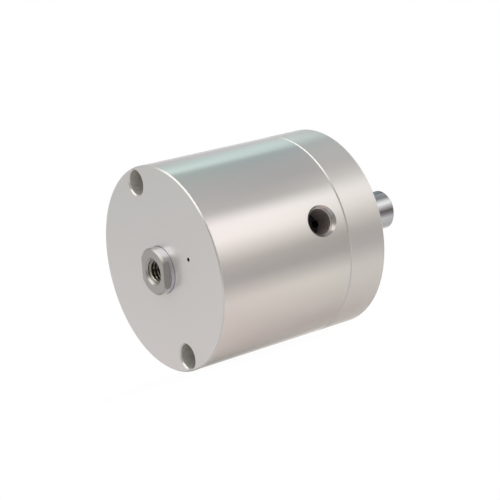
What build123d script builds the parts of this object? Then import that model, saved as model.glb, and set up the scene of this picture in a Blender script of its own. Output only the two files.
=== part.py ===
from build123d import *
import os
from math import cos, pi, radians, sin, tan

# Pancake pneumatic cylinder, single acting, with a rod through both ends. Millimetres.
# The origin is the centre of the front mounting face. +X runs along the rod, out of that face.
# The two mounting holes lie on Z, and the air port and the breather lie towards +Y.
# Everything is at rest, with the piston pushed back onto its rear stop by the spring.
# Screw threads are drawn plain, at their outer diameter.

# Body
body_d = 70.0
bore_d = 40.0
front_wall = 9.5
cover_thickness = 15.0
rim_chamfer = 0.4
joint_chamfer = 0.25
hole_chamfer = 0.2

# Travel and what takes up the rest of the barrel's length
stroke = 25.0
front_bumper_thickness = 1.0
rear_bumper_thickness = 1.0
boss_length = 3.0
spigot_length = 4.0

# Fits, all radial unless they say otherwise
running_clearance = 0.03
seat_clearance = 0.02
face_hole_clearance = 0.12
piston_clearance = 0.15

# Mounting holes, as near to the rim as the metal left outside them allows
mounting_hole_d = 8.4
mounting_hole_rim = 0.8

# Air port, an eighth-inch parallel pipe thread, with an offset drilling into the air chamber
port_d = 9.73
port_countersink = 0.6
port_depth = 9.0
port_to_joint = 9.5
port_drilling_d = 2.5
port_drilling_inset = 0.05

# Breather of the spring chamber
breather_d = 1.0
breather_to_bore_wall = 2.0

# Rods
front_rod_d = 16.0
rear_rod_d = 14.0
front_rod_reach = 3.4
rear_rod_reach = 30.5
front_rod_chamfer = 0.6
rear_rod_chamfer = 1.3
stud_d = 10.0
stud_grip = 12.0
stud_chamfer = 0.8
stud_hole_spare = 1.5
wrench_size = 13.0
wrench_flat_length = 2.1
flats_turn = 22.9
rod_thread_d = 8.0
rod_thread_depth = 13.0
rod_thread_countersink = 0.5
rod_thread_height = 0.6
rod_tap_drill_spare = 4.0
drill_point_angle = 118.0

# Rod bushes and the felt wiper
bush_wall = 1.0
bush_chamfer = 0.3
rear_bush_inset = 0.5
front_lip = 1.2
felt_width = 1.8
felt_thickness = 1.5
felt_to_bush = 0.6

# Piston
piston_front_land = 1.0
piston_land = 0.9
piston_chamfer = 0.4
guide_band_width = 3.0
guide_band_thickness = 1.15
guide_band_gap = 0.8
guide_band_cut_angle = 45.0
cup_width = 3.2
cup_depth = 3.0

# Return spring, its pockets and the thrust washer behind it. It stands round the front bush's hub.
spring_hub_wall = 3.15
spring_wire_d = 1.8
spring_turns = 5.5
spring_closed_turns = 0.85
spring_side_clearance = 0.4
spring_recess_depth = 5.0
spring_spare = 0.5
spring_washer_thickness = 0.6

# Bumpers
bumper_edge = 0.7
bumper_chamfer = 0.2

# Cover boss round the rear bush, with the ring of air round it that the port feeds
boss_wall = 4.95
boss_chamfer = 0.4

# Seal stack in the back of the cover
rod_seal_section = 3.5
rod_seal_width = 3.5
spacer_thickness = 1.0
wiper_width = 2.5
wiper_lip = 0.8
seal_shoulder = 1.5
snap_ring_thickness = 1.0
snap_ring_play = 0.05
snap_ring_depth = 0.9
snap_ring_inset = 2.0
snap_ring_radial_width = 1.4
snap_ring_offset = 0.5
snap_ring_gap_angle = 22.0
lug_d = 2.7
lug_hole_d = 1.2

# Rubber rings, drawn as squeezed in their grooves
cover_ring_cord = 1.6
piston_ring_cord = 1.25
ring_groove_slack = 0.6

# Cover screws
screw_count = 4
screw_d = 5.0
screw_head_d = 8.5
screw_head_height = 5.0
screw_socket_size = 4.0
screw_socket_depth = 2.5
screw_grip = 10.5
screw_hole_spare = 1.5
screw_hole_clearance = 0.25
counterbore_clearance = 0.5
screw_head_sunk = 0.5

# How far a cutting tool runs past the face it cuts
overrun = 1.0

# Radii that more than one piece uses
body_r = body_d / 2
bore_r = bore_d / 2
front_rod_r = front_rod_d / 2
rear_rod_r = rear_rod_d / 2
stud_r = stud_d / 2
front_bush_r = front_rod_r + running_clearance + bush_wall
rear_bush_r = rear_rod_r + running_clearance + bush_wall
boss_r = rear_bush_r + seat_clearance + boss_wall
felt_groove_r = front_rod_r + running_clearance + felt_thickness
spring_hub_r = front_bush_r + seat_clearance + spring_hub_wall
spring_coil_r = spring_hub_r + spring_side_clearance + spring_wire_d / 2
spring_pocket_r = spring_coil_r + spring_wire_d / 2 + spring_side_clearance
piston_r = bore_r - piston_clearance
seal_stack_r = rear_rod_r + rod_seal_section
spigot_r = bore_r - running_clearance
mounting_hole_r = mounting_hole_d / 2
mounting_radius = body_r - mounting_hole_rim - mounting_hole_r
screw_radius = (body_r + bore_r) / 2

# Stations along X, from the front face to the back. The piston is as long as its lands and grooves.
piston_length = piston_front_land + guide_band_width + piston_land + cup_width + piston_land
chamber_front_x = -front_wall
front_stop_x = chamber_front_x - front_bumper_thickness
piston_front_x = front_stop_x - stroke
piston_rear_x = piston_front_x - piston_length
boss_x = piston_rear_x - rear_bumper_thickness
spigot_x = boss_x - boss_length
joint_x = spigot_x - spigot_length
rear_face_x = joint_x - cover_thickness
front_tip_x = front_rod_reach
rear_tip_x = rear_face_x - rear_rod_reach
port_x = joint_x + port_to_joint

# Front wall: felt groove, then bush, then the spring's recess
felt_front_x = -front_lip
felt_rear_x = felt_front_x - felt_width
front_bush_x = felt_rear_x - felt_to_bush
recess_floor_x = chamber_front_x + spring_recess_depth

# The piston's pocket leaves the closed spring room to spare at full stroke
spring_solid = spring_turns * spring_wire_d
pocket_depth = (
    spring_solid + spring_spare + spring_washer_thickness - front_bumper_thickness - spring_recess_depth
)
pocket_floor_x = piston_front_x - pocket_depth
spring_rear_x = pocket_floor_x + spring_washer_thickness

# Piston grooves, counted from its rear face
cup_rear_x = piston_rear_x + piston_land
cup_front_x = cup_rear_x + cup_width
band_rear_x = cup_front_x + piston_land
band_front_x = band_rear_x + guide_band_width
cup_floor_r = piston_r - cup_depth
band_floor_r = bore_r - running_clearance - guide_band_thickness - seat_clearance

# Seal stack, counted from the rear face, and the bush in front of it
snap_ring_rear_x = rear_face_x + snap_ring_inset
snap_ring_front_x = snap_ring_rear_x + snap_ring_thickness
wiper_front_x = snap_ring_front_x + wiper_width
spacer_front_x = wiper_front_x + spacer_thickness
seal_floor_x = spacer_front_x + rod_seal_width
rear_bush_rear_x = seal_floor_x + seal_shoulder
rear_bush_front_x = boss_x - rear_bush_inset
snap_groove_r = seal_stack_r + snap_ring_depth + 2 * seat_clearance
snap_ring_r = seal_stack_r + snap_ring_depth

# Cover screws: the head sits below the rear face
screw_head_x = rear_face_x + screw_head_sunk
screw_seat_x = screw_head_x + screw_head_height
screw_tip_x = joint_x + screw_grip

# Rubber ring in the cover's spigot
cover_ring_x = (joint_x + spigot_x) / 2
cover_groove_half = (cover_ring_cord + ring_groove_slack) / 2
cover_groove_r = bore_r - cover_ring_cord - seat_clearance

# Rubber ring on the rod's stud, inside the piston
stud_ring_x = (pocket_floor_x + piston_rear_x) / 2
stud_groove_half = (piston_ring_cord + ring_groove_slack) / 2
stud_groove_r = stud_r + running_clearance - piston_ring_cord - seat_clearance
stud_end_x = piston_rear_x - stud_grip
stud_hole_end_x = stud_end_x - stud_hole_spare


def turned(*profile):
    """Solid turned about the X axis from a closed profile of (x, radius) points."""
    outline = Polyline(*profile, close=True)
    return revolve(make_face(outline), Axis.X, 360)


def bar(x_front, x_rear, radius):
    """Plain round bar on the X axis."""
    return turned((x_front, 0), (x_front, radius), (x_rear, radius), (x_rear, 0))


def ring(x_front, x_rear, inner, outer, chamfer_size=0.0):
    """Ring on the X axis, with its outer edges chamfered if a size is given."""
    if not chamfer_size:
        return turned((x_front, inner), (x_front, outer), (x_rear, outer), (x_rear, inner))
    return turned(
        (x_front, inner),
        (x_front, outer - chamfer_size),
        (x_front - chamfer_size, outer),
        (x_rear + chamfer_size, outer),
        (x_rear, outer - chamfer_size),
        (x_rear, inner),
    )


def through_hole(x_front, x_rear, radius):
    """Tool for a through hole with a small countersink at each end."""
    flare = radius + hole_chamfer + overrun
    return turned(
        (x_front + overrun, 0),
        (x_front + overrun, flare),
        (x_front - hole_chamfer, radius),
        (x_rear + hole_chamfer, radius),
        (x_rear - overrun, flare),
        (x_rear - overrun, 0),
    )


def lip_seal(heel_x, lip_x, inner, outer):
    """U-shaped seal with its back at heel_x and two lips that open at lip_x."""
    inset = 0.12 * (outer - inner)
    lip = 0.18 * (outer - inner)
    middle_x = (heel_x + lip_x) / 2
    middle_r = (inner + outer) / 2
    return turned(
        (heel_x, inner + inset),
        (heel_x, outer - inset),
        (middle_x, outer - inset),
        (lip_x, outer),
        (lip_x, outer - lip),
        (middle_x, middle_r),
        (lip_x, inner + lip),
        (lip_x, inner),
        (middle_x, inner + inset),
    )


def rubber_ring(x, cord, outer):
    """Round-section ring whose outside touches the given radius."""
    section = Pos(x, outer - cord / 2) * Circle(cord / 2)
    return revolve(section, Axis.X, 360)


def mounting_places():
    """The two mounting holes, above and below the rod."""
    return [Pos(0, 0, mounting_radius), Pos(0, 0, -mounting_radius)]


def screw_places():
    """The cover screws, half a step away from the mounting holes."""
    step = 360 / screw_count
    places = []
    for i in range(screw_count):
        angle = radians(step * (i + 0.5))
        places.append(Pos(0, screw_radius * sin(angle), screw_radius * cos(angle)))
    return places


def port_tool():
    """Tool for the port's thread bore, its countersink and the drilling into the air chamber."""
    port_r = port_d / 2
    floor_y = body_r - port_depth
    sink_y = body_r - port_countersink
    top_y = body_r + overrun
    top_r = port_r + port_countersink + overrun
    outline = Polyline(
        (0, floor_y), (port_r, floor_y), (port_r, sink_y), (top_r, top_y), (0, top_y), close=True
    )
    thread = Pos(port_x, 0, 0) * revolve(make_face(outline), Axis.Y, 360)
    drilling_r = port_drilling_d / 2
    drilling_x = port_x - port_r + drilling_r + port_drilling_inset
    drilling_y = bore_r - overrun
    drilling = Pos(drilling_x, drilling_y, 0) * extrude(
        Plane.XZ * Circle(drilling_r), -(floor_y + overrun - drilling_y)
    )
    return thread + drilling


def make_barrel():
    """Cup-shaped body: the front wall and the tube in one piece."""
    face_hole_r = front_rod_r + face_hole_clearance
    body = turned(
        (0, face_hole_r),
        (0, body_r - rim_chamfer),
        (-rim_chamfer, body_r),
        (joint_x + joint_chamfer, body_r),
        (joint_x, body_r - joint_chamfer),
        (joint_x, bore_r + joint_chamfer),
        (joint_x + joint_chamfer, bore_r),
        (chamber_front_x, bore_r),
        (chamber_front_x, spring_pocket_r),
        (recess_floor_x, spring_pocket_r),
        (recess_floor_x, spring_hub_r),
        (chamber_front_x, spring_hub_r),
        (chamber_front_x, front_bush_r + seat_clearance),
        (front_bush_x, front_bush_r + seat_clearance),
        (front_bush_x, face_hole_r),
        (felt_rear_x, face_hole_r),
        (felt_rear_x, felt_groove_r),
        (felt_front_x, felt_groove_r),
        (felt_front_x, face_hole_r),
    )
    for place in mounting_places():
        body -= place * through_hole(0, joint_x, mounting_hole_r)
    for place in screw_places():
        tapped = bar(screw_tip_x + screw_hole_spare, joint_x - overrun, screw_d / 2 + seat_clearance)
        body -= place * tapped
    breather_r = breather_d / 2
    breather = bar(overrun, chamber_front_x - overrun, breather_r)
    body -= Pos(0, bore_r - breather_to_bore_wall, 0) * breather
    return body - port_tool()


def make_rear_cover():
    """Cover with its spigot in the bore, a boss that stops the piston, and the seal stack's seat."""
    body = turned(
        (boss_x, rear_bush_r + seat_clearance),
        (boss_x, boss_r - boss_chamfer),
        (boss_x - boss_chamfer, boss_r),
        (spigot_x, boss_r),
        (spigot_x, spigot_r - joint_chamfer),
        (spigot_x - joint_chamfer, spigot_r),
        (cover_ring_x + cover_groove_half, spigot_r),
        (cover_ring_x + cover_groove_half, cover_groove_r),
        (cover_ring_x - cover_groove_half, cover_groove_r),
        (cover_ring_x - cover_groove_half, spigot_r),
        (joint_x, spigot_r),
        (joint_x, body_r - joint_chamfer),
        (joint_x - joint_chamfer, body_r),
        (rear_face_x + rim_chamfer, body_r),
        (rear_face_x, body_r - rim_chamfer),
        (rear_face_x, seal_stack_r + rim_chamfer),
        (rear_face_x + rim_chamfer, seal_stack_r),
        (snap_ring_rear_x - snap_ring_play, seal_stack_r),
        (snap_ring_rear_x - snap_ring_play, snap_groove_r),
        (snap_ring_front_x, snap_groove_r),
        (snap_ring_front_x, seal_stack_r),
        (seal_floor_x, seal_stack_r),
        (seal_floor_x, rear_rod_r + face_hole_clearance),
        (rear_bush_rear_x, rear_rod_r + face_hole_clearance),
        (rear_bush_rear_x, rear_bush_r + seat_clearance),
    )
    for place in mounting_places():
        body -= place * through_hole(joint_x, rear_face_x, mounting_hole_r)
    clearance_r = screw_d / 2 + screw_hole_clearance
    counterbore_r = (screw_head_d + counterbore_clearance) / 2
    for place in screw_places():
        body -= place * through_hole(joint_x, rear_face_x, clearance_r)
        body -= place * bar(screw_seat_x, rear_face_x - overrun, counterbore_r)
    return body


def make_cover_screws():
    """Socket head screws, heads to the rear, that hold the cover to the barrel."""
    head_r = screw_head_d / 2
    shank_r = screw_d / 2
    edge = screw_head_sunk
    screw = turned(
        (screw_tip_x, 0),
        (screw_tip_x, shank_r - edge),
        (screw_tip_x - edge, shank_r),
        (screw_seat_x, shank_r),
        (screw_seat_x, head_r),
        (screw_head_x + edge, head_r),
        (screw_head_x, head_r - edge),
        (screw_head_x, 0),
    )
    hexagon = RegularPolygon(screw_socket_size / 2, 6, major_radius=False)
    screw -= extrude(Plane.YZ.offset(screw_head_x) * hexagon, screw_socket_depth)
    return [place * screw for place in screw_places()]


def make_front_rod():
    """Front rod with its tapped end and wrench flats, and the stud that carries the piston."""
    thread_r = rod_thread_d / 2
    drill_r = thread_r - rod_thread_height
    thread_end_x = front_tip_x - rod_thread_depth
    drill_end_x = thread_end_x - rod_tap_drill_spare
    drill_point_x = drill_end_x - drill_r / tan(radians(drill_point_angle / 2))
    rod = turned(
        (front_tip_x, thread_r + rod_thread_countersink),
        (front_tip_x, front_rod_r - front_rod_chamfer),
        (front_tip_x - front_rod_chamfer, front_rod_r),
        (piston_front_x, front_rod_r),
        (piston_front_x, stud_r),
        (stud_ring_x + stud_groove_half, stud_r),
        (stud_ring_x + stud_groove_half, stud_groove_r),
        (stud_ring_x - stud_groove_half, stud_groove_r),
        (stud_ring_x - stud_groove_half, stud_r),
        (stud_end_x + stud_chamfer, stud_r),
        (stud_end_x, stud_r - stud_chamfer),
        (stud_end_x, 0),
        (drill_point_x, 0),
        (drill_end_x, drill_r),
        (thread_end_x, drill_r),
        (thread_end_x, thread_r),
        (front_tip_x - rod_thread_countersink, thread_r),
    )
    for side in (1, -1):
        middle_y = side * (wrench_size + front_rod_d) / 4
        middle_x = front_tip_x + (overrun - wrench_flat_length) / 2
        slab = Box(wrench_flat_length + overrun, (front_rod_d - wrench_size) / 2, front_rod_d)
        rod -= Rot(-flats_turn, 0, 0) * Pos(middle_x, middle_y, 0) * slab
    return rod


def make_rear_rod():
    """Rear rod, screwed onto the front rod's stud against the back of the piston."""
    hole_r = stud_r + seat_clearance
    return turned(
        (piston_rear_x, hole_r),
        (piston_rear_x, rear_rod_r),
        (rear_tip_x + rear_rod_chamfer, rear_rod_r),
        (rear_tip_x, rear_rod_r - rear_rod_chamfer),
        (rear_tip_x, 0),
        (stud_hole_end_x, 0),
        (stud_hole_end_x, hole_r),
    )


def make_piston():
    """Piston with a spring pocket in front, and grooves for its guide band and its seal."""
    hole_r = stud_r + running_clearance
    return turned(
        (piston_front_x, hole_r),
        (piston_front_x, spring_hub_r),
        (pocket_floor_x, spring_hub_r),
        (pocket_floor_x, spring_pocket_r),
        (piston_front_x, spring_pocket_r),
        (piston_front_x, piston_r - piston_chamfer),
        (piston_front_x - piston_chamfer, piston_r),
        (band_front_x, piston_r),
        (band_front_x, band_floor_r),
        (band_rear_x, band_floor_r),
        (band_rear_x, piston_r),
        (cup_front_x, piston_r),
        (cup_front_x, cup_floor_r),
        (cup_rear_x, cup_floor_r),
        (cup_rear_x, piston_r),
        (piston_rear_x + piston_chamfer, piston_r),
        (piston_rear_x, piston_r - piston_chamfer),
        (piston_rear_x, hole_r),
    )


def make_guide_band():
    """Bearing band, split by a slanting cut so that it can be snapped over the piston."""
    front = band_front_x - seat_clearance
    rear = band_rear_x + seat_clearance
    inner = band_floor_r + seat_clearance
    band = ring(front, rear, inner, inner + guide_band_thickness)
    cut = Box(2 * guide_band_width, guide_band_gap, 2 * bore_r)
    middle = Pos((front + rear) / 2, 0, bore_r)
    return band - middle * Rot(0, 0, guide_band_cut_angle) * cut


def make_front_bush():
    """Lined bush pressed into the front wall from inside."""
    return ring(
        front_bush_x, chamber_front_x, front_rod_r + running_clearance, front_bush_r, bush_chamfer
    )


def make_rear_bush():
    """Lined bush pressed into the cover's boss from inside."""
    return ring(
        rear_bush_front_x, rear_bush_rear_x, rear_rod_r + running_clearance, rear_bush_r, bush_chamfer
    )


def make_front_bumper():
    """Stop ring on the front wall's hub, round the rod, where the piston's hub lands."""
    inner = front_rod_r + bumper_edge
    return ring(chamber_front_x, front_stop_x, inner, spring_hub_r - bumper_edge, bumper_chamfer)


def make_rear_bumper():
    """Stop ring on the cover's boss, on which the piston rests."""
    inner = rear_bush_r + bumper_edge
    return ring(piston_rear_x, boss_x, inner, boss_r - bumper_edge, bumper_chamfer)


def make_rear_wiper():
    """Wiper whose lip reaches back past the snap ring and scrapes the rod."""
    outer = seal_stack_r - seat_clearance
    inner = rear_rod_r + running_clearance
    return turned(
        (wiper_front_x, inner + wiper_lip),
        (wiper_front_x, outer),
        (snap_ring_front_x, outer),
        (snap_ring_front_x, inner + wiper_lip),
        (snap_ring_rear_x + wiper_lip, inner),
        (snap_ring_front_x + wiper_lip, inner),
    )


def make_snap_ring():
    """Internal retaining ring: a band that narrows towards its gap, with two lugs for the pliers."""
    inner_r = snap_ring_r - snap_ring_radial_width
    band = Circle(snap_ring_r) - Pos(0, snap_ring_offset) * Circle(inner_r)
    half_gap = radians(snap_ring_gap_angle / 2)
    reach = 2 * snap_ring_r
    gap = make_face(
        Polyline(
            (0, 0), (-reach * sin(half_gap), reach), (reach * sin(half_gap), reach), close=True
        )
    )
    shape = band - gap
    lug_radius = inner_r + snap_ring_offset - lug_d / 4
    lug_angle = half_gap + lug_d / 2 / lug_radius
    for side in (1, -1):
        place = Pos(side * lug_radius * sin(lug_angle), lug_radius * cos(lug_angle))
        shape = shape + place * Circle(lug_d / 2) - place * Circle(lug_hole_d / 2)
    return extrude(Plane.YZ.offset(snap_ring_rear_x) * shape, snap_ring_thickness)


def make_spring():
    """Compression spring with closed, ground ends, compressed between its two pockets."""
    wire_r = spring_wire_d / 2
    length = recess_floor_x - spring_rear_x
    closed_rise = spring_closed_turns * spring_wire_d
    open_turns = spring_turns - 2 * spring_closed_turns
    open_rise = length - spring_wire_d / 2 - 2 * closed_rise
    points_per_turn = 12
    count = round(spring_turns * points_per_turn)
    points = []
    for i in range(count + 1):
        turns = spring_turns * i / count
        share = min(max((turns - spring_closed_turns) / open_turns, 0), 1)
        closed = min(turns, spring_closed_turns) + max(turns - spring_turns + spring_closed_turns, 0)
        eased = share - sin(2 * pi * share) / (4 * pi)
        x = spring_rear_x + wire_r / 2 + closed * spring_wire_d + open_rise * eased
        angle = 2 * pi * turns
        points.append((x, spring_coil_r * sin(angle), spring_coil_r * cos(angle)))
    path = Spline(*points)
    coil = sweep(Plane(path @ 0, z_dir=path % 0) * Circle(wire_r), path)
    ground = bar(recess_floor_x, spring_rear_x, spring_pocket_r)
    return coil & ground


def save(name, solids):
    """Write one piece, or a group of like pieces, to its own file."""
    shape = Compound(children=solids) if isinstance(solids, list) else solids
    export_step(shape, f"parts/{name}.step")


os.makedirs("parts", exist_ok=True)
save("barrel", make_barrel())
save("rear_cover", make_rear_cover())
save("cover_screws", make_cover_screws())
save("cover_o_ring", rubber_ring(cover_ring_x, cover_ring_cord, bore_r - seat_clearance / 2))
save("front_rod_bush", make_front_bush())
save(
    "front_felt_wiper",
    ring(
        felt_front_x,
        felt_rear_x,
        front_rod_r + running_clearance,
        felt_groove_r - seat_clearance,
    ),
)
save("front_bumper", make_front_bumper())
save("rear_bumper", make_rear_bumper())
save("rear_rod_bush", make_rear_bush())
save(
    "rear_rod_seal",
    lip_seal(
        spacer_front_x, seal_floor_x, rear_rod_r + running_clearance, seal_stack_r - seat_clearance
    ),
)
save(
    "seal_spacer_washer",
    ring(
        spacer_front_x, wiper_front_x, rear_rod_r + face_hole_clearance, seal_stack_r - seat_clearance
    ),
)
save("rear_rod_wiper", make_rear_wiper())
save("rear_snap_ring", make_snap_ring())
save("piston", make_piston())
save(
    "piston_u_cup",
    lip_seal(
        cup_front_x, cup_rear_x, cup_floor_r + seat_clearance, bore_r - running_clearance
    ),
)
save("piston_guide_band", make_guide_band())
save(
    "piston_o_ring",
    rubber_ring(stud_ring_x, piston_ring_cord, stud_r + running_clearance - seat_clearance / 2),
)
save("front_rod", make_front_rod())
save("rear_rod", make_rear_rod())
save("return_spring", make_spring())
save(
    "spring_seat_washer",
    ring(
        spring_rear_x,
        pocket_floor_x,
        spring_hub_r + running_clearance,
        spring_pocket_r - running_clearance,
    ),
)
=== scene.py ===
import logging
import math
from collections.abc import Sequence
from dataclasses import dataclass, replace
from enum import Enum

import bmesh
import bpy
import numpy as np
from bpy.types import ID, Material, NodeOutputs, NodeSocket, NodeTree, Object, bpy_prop_collection
from mathutils import Matrix


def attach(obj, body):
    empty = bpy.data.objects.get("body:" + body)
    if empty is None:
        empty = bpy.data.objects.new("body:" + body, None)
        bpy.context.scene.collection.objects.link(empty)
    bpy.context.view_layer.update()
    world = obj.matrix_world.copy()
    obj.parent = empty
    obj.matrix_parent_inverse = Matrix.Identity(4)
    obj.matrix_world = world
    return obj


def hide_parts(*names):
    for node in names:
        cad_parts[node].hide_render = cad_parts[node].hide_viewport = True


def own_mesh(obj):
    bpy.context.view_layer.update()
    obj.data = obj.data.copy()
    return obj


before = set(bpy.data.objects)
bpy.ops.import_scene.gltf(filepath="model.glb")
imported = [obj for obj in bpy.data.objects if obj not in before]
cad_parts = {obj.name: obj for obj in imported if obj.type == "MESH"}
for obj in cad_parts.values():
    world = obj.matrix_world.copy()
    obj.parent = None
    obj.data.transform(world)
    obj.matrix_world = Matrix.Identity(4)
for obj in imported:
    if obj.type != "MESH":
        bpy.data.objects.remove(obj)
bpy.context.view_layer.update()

# Pancake pneumatic cylinder with a rod through both ends, dressed for its photograph.
# Every length in this file is in millimetres and in the part's own frame, unless it says
# otherwise: +X runs out of the front face along the rod, the mounting holes lie on Z, and the
# air port looks towards +Y. A mesh gets metres when it is made.

MM = 0.001
log = logging.getLogger("cylinder")

# The photograph shows the cylinder turned about its rod by this much, from +Z towards +Y.
PHOTO_TURN = math.radians(28.6)
# Corners closer than the first become one, and edges shorter than the second go, in metres.
SAME_CORNER_M = 1e-7
NO_EDGE_M = 1e-8
# Faces that meet at a larger angle than this have a sharp edge between them.
SHARP_ANGLE = math.radians(34)
# How far a corner may lie off a turned surface whose normal it takes, and the least cosine
# between that normal and its face's own.
ON_SURFACE = 0.02
SAME_WAY = 0.97
# How far the middle of a face may lie off the plane, wall or cone that has another finish.
OFF_PLANE = 0.01
OFF_WALL = 0.05
OFF_CONE = 0.04
# Least radius that a direction is divided by.
LEAST_RADIUS = 1e-9


class Axis(Enum):
    """Direction that a surface is turned about, then the two across it, where angles start."""

    X = ((1.0, 0.0, 0.0), (0.0, 1.0, 0.0), (0.0, 0.0, 1.0))
    X_FROM_Z = ((1.0, 0.0, 0.0), (0.0, 0.0, 1.0), (0.0, 1.0, 0.0))
    Y = ((0.0, 1.0, 0.0), (0.0, 0.0, 1.0), (1.0, 0.0, 0.0))

    @property
    def basis(self) -> np.ndarray:
        """The three directions as the rows of an array."""
        return np.array(self.value)


class Surface(Enum):
    """How a surface was made, then the detail and the twist of its pattern's noise."""

    TURNED = ("lathe rings about the rod axis", 2.0, 0.0)
    POLISHED = ("ground and polished, close to a mirror", 1.0, 0.0)
    OXIDE = ("blackened or oiled steel with a faint mottle", 1.0, 0.0)
    MOULDED = ("soft grain of moulded rubber or plastic", 3.0, 0.0)
    SINTERED = ("pressed powder with open pores", 0.0, 0.0)
    FELTED = ("matted wool", 6.0, 2.5)


class Cut(Enum):
    """What a tool does to the solid it meets."""

    AWAY = "DIFFERENCE"
    JOINED = "UNION"


def linear(code: str) -> tuple[float, float, float, float]:
    """Turn an sRGB hex colour into the linear colour that a shader takes.

    Args:
        code: Six hex digits after a hash sign.

    Returns:
        Linear red, green and blue, and an alpha of 1.
    """
    values = np.array([int(code[i : i + 2], 16) for i in (1, 3, 5)]) / 255
    out = np.where(values <= 0.04045, values / 12.92, ((values + 0.055) / 1.055) ** 2.4)
    return (float(out[0]), float(out[1]), float(out[2]), 1.0)


WHITE = linear("#FFFFFF")


def empty_tree(owner: ID) -> NodeTree:
    """Give a new material or world a node tree with nothing in it."""
    owner.use_nodes = True
    owner.node_tree.nodes.clear()
    return owner.node_tree


def node(tree: NodeTree, kind: str, inputs: dict | None = None, **settings: object) -> NodeOutputs:
    """Add one shader node with its settings and its links.

    Args:
        tree: Node tree that gets the node.
        kind: Blender's name of the node type, without ShaderNode.
        inputs: Value or source socket of each input, by its name or number.
        settings: Node properties such as operation or data_type.

    Returns:
        The new node's outputs.
    """
    made = tree.nodes.new(f"ShaderNode{kind}")
    for name, value in settings.items():
        setattr(made, name, value)
    for name, value in (inputs or {}).items():
        if isinstance(value, NodeSocket):
            tree.links.new(value, made.inputs[name])
        else:
            made.inputs[name].default_value = value
    return made.outputs


@dataclass(frozen=True)
class Finish:
    """What a surface is made of and how it was worked.

    Attributes:
        name: Common name of the material.
        colour: sRGB hex colour.
        surface: How the surface was made.
        metallic: 1 for bare metal, less under a cloudy oxide layer.
        roughness: Mean roughness.
        pattern_mm: Real size of the pattern's grain or line spacing.
        relief_mm: Height of the pattern.
        shade: Share by which the pattern lightens and darkens the colour.
        spread: How much the pattern changes the roughness.
        sheen: Weight of the fuzz on cloth.
    """

    name: str
    colour: str
    surface: Surface
    metallic: float = 0.0
    roughness: float = 0.5
    pattern_mm: float = 0.2
    relief_mm: float = 0.001
    shade: float = 0.03
    spread: float = 0.03
    sheen: float = 0.0

    def pattern(self, tree: NodeTree) -> NodeSocket:
        """Lay out the surface's pattern on object coordinates.

        A turned pattern is noise along one line, read at x plus the distance from the rod axis,
        so its rings follow walls, faces and chamfers alike. The others are noise in space.

        Args:
            tree: Node tree of the material.

        Returns:
            Socket that runs from 0 to 1.
        """
        _, detail, twist = self.surface.value
        place = node(tree, "TexCoord")["Object"]
        noise = {"Scale": 1 / (self.pattern_mm * MM), "Detail": detail}
        if self.surface is Surface.TURNED:
            x, y, z = node(tree, "SeparateXYZ", {0: place})
            flat = node(tree, "CombineXYZ", {1: y, 2: z})[0]
            radius = node(tree, "VectorMath", {0: flat}, operation="LENGTH")["Value"]
            noise["W"] = node(tree, "Math", {0: x, 1: radius}, operation="ADD")[0]
            return node(tree, "TexNoise", noise, noise_dimensions="1D")[0]
        noise["Vector"] = place
        if self.surface is Surface.SINTERED:
            return node(tree, "TexVoronoi", noise)["Distance"]
        return node(tree, "TexNoise", {**noise, "Distortion": twist})[0]

    def material(self) -> Material:
        """Make the material, or hand back the one that is already there."""
        ready = bpy.data.materials.get(self.name)
        if ready:
            return ready
        made = bpy.data.materials.new(self.name)
        tree = empty_tree(made)
        grain = self.pattern(tree)
        middle = np.array(linear(self.colour)[:3])
        dark, light = (np.clip(middle * (1 + way * self.shade), 0, 1) for way in (-1, 1))
        tones = {"Factor": grain, "A": (*dark, 1.0), "B": (*light, 1.0)}
        low, high = self.roughness - self.spread, self.roughness + self.spread
        relief = {"Height": grain, "Strength": 1.0, "Distance": self.relief_mm * MM}
        shader = node(
            tree,
            "BsdfPrincipled",
            {
                "Base Color": node(tree, "Mix", tones, data_type="RGBA")["Result"],
                "Metallic": self.metallic,
                "Roughness": node(tree, "MapRange", {0: grain, "To Min": low, "To Max": high})[0],
                "Normal": node(tree, "Bump", relief)[0],
                "Sheen Weight": self.sheen,
            },
        )
        node(tree, "OutputMaterial", {"Surface": shader[0]})
        return made

    def dress(self, piece: Object) -> None:
        """Make this the only finish of a piece."""
        piece.data.materials.clear()
        piece.data.materials.append(self.material())


def full_turn(count: int) -> np.ndarray:
    """Evenly spaced angles round a full turn, in radians."""
    return np.arange(count) * 2 * np.pi / count


def turned_points(
    along: np.ndarray, radius: np.ndarray, angle: np.ndarray, axis: Axis = Axis.X
) -> np.ndarray:
    """Work out the points of a surface about an axis.

    A point is its place along the axis, plus its radius times the cosine and the sine of its
    angle in the two directions across.

    Args:
        along: Places along the axis.
        radius: Distances from the axis.
        angle: Angles about it. The three arrays have one shape, or stretch to one.
        axis: The axis and the directions across it.

    Returns:
        Array of that shape with three coordinates per point.
    """
    way, first, second = axis.basis
    cosine, sine = radius * np.cos(angle), radius * np.sin(angle)
    return along[..., None] * way + cosine[..., None] * first + sine[..., None] * second


def grid_faces(rows: int, columns: int, closed: bool = False) -> np.ndarray:
    """Corner numbers of the quads of a grid that is closed round its columns.

    Args:
        rows: Number of rows of points.
        columns: Number of points in a row.
        closed: True if the last row joins the first.

    Returns:
        Four corner numbers per face.
    """
    row = np.arange(rows if closed else rows - 1)[:, None]
    column = np.arange(columns)[None, :]
    next_row, next_column = (row + 1) % rows, (column + 1) % columns
    steps = ((row, column), (row, next_column), (next_row, next_column), (next_row, column))
    return np.stack([(r * columns + c).reshape(-1) for r, c in steps], -1)


def add_object(name: str, data: ID) -> Object:
    """Put a new object with this mesh or camera into the scene."""
    made = bpy.data.objects.new(name, data)
    bpy.context.scene.collection.objects.link(made)
    return made


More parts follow.
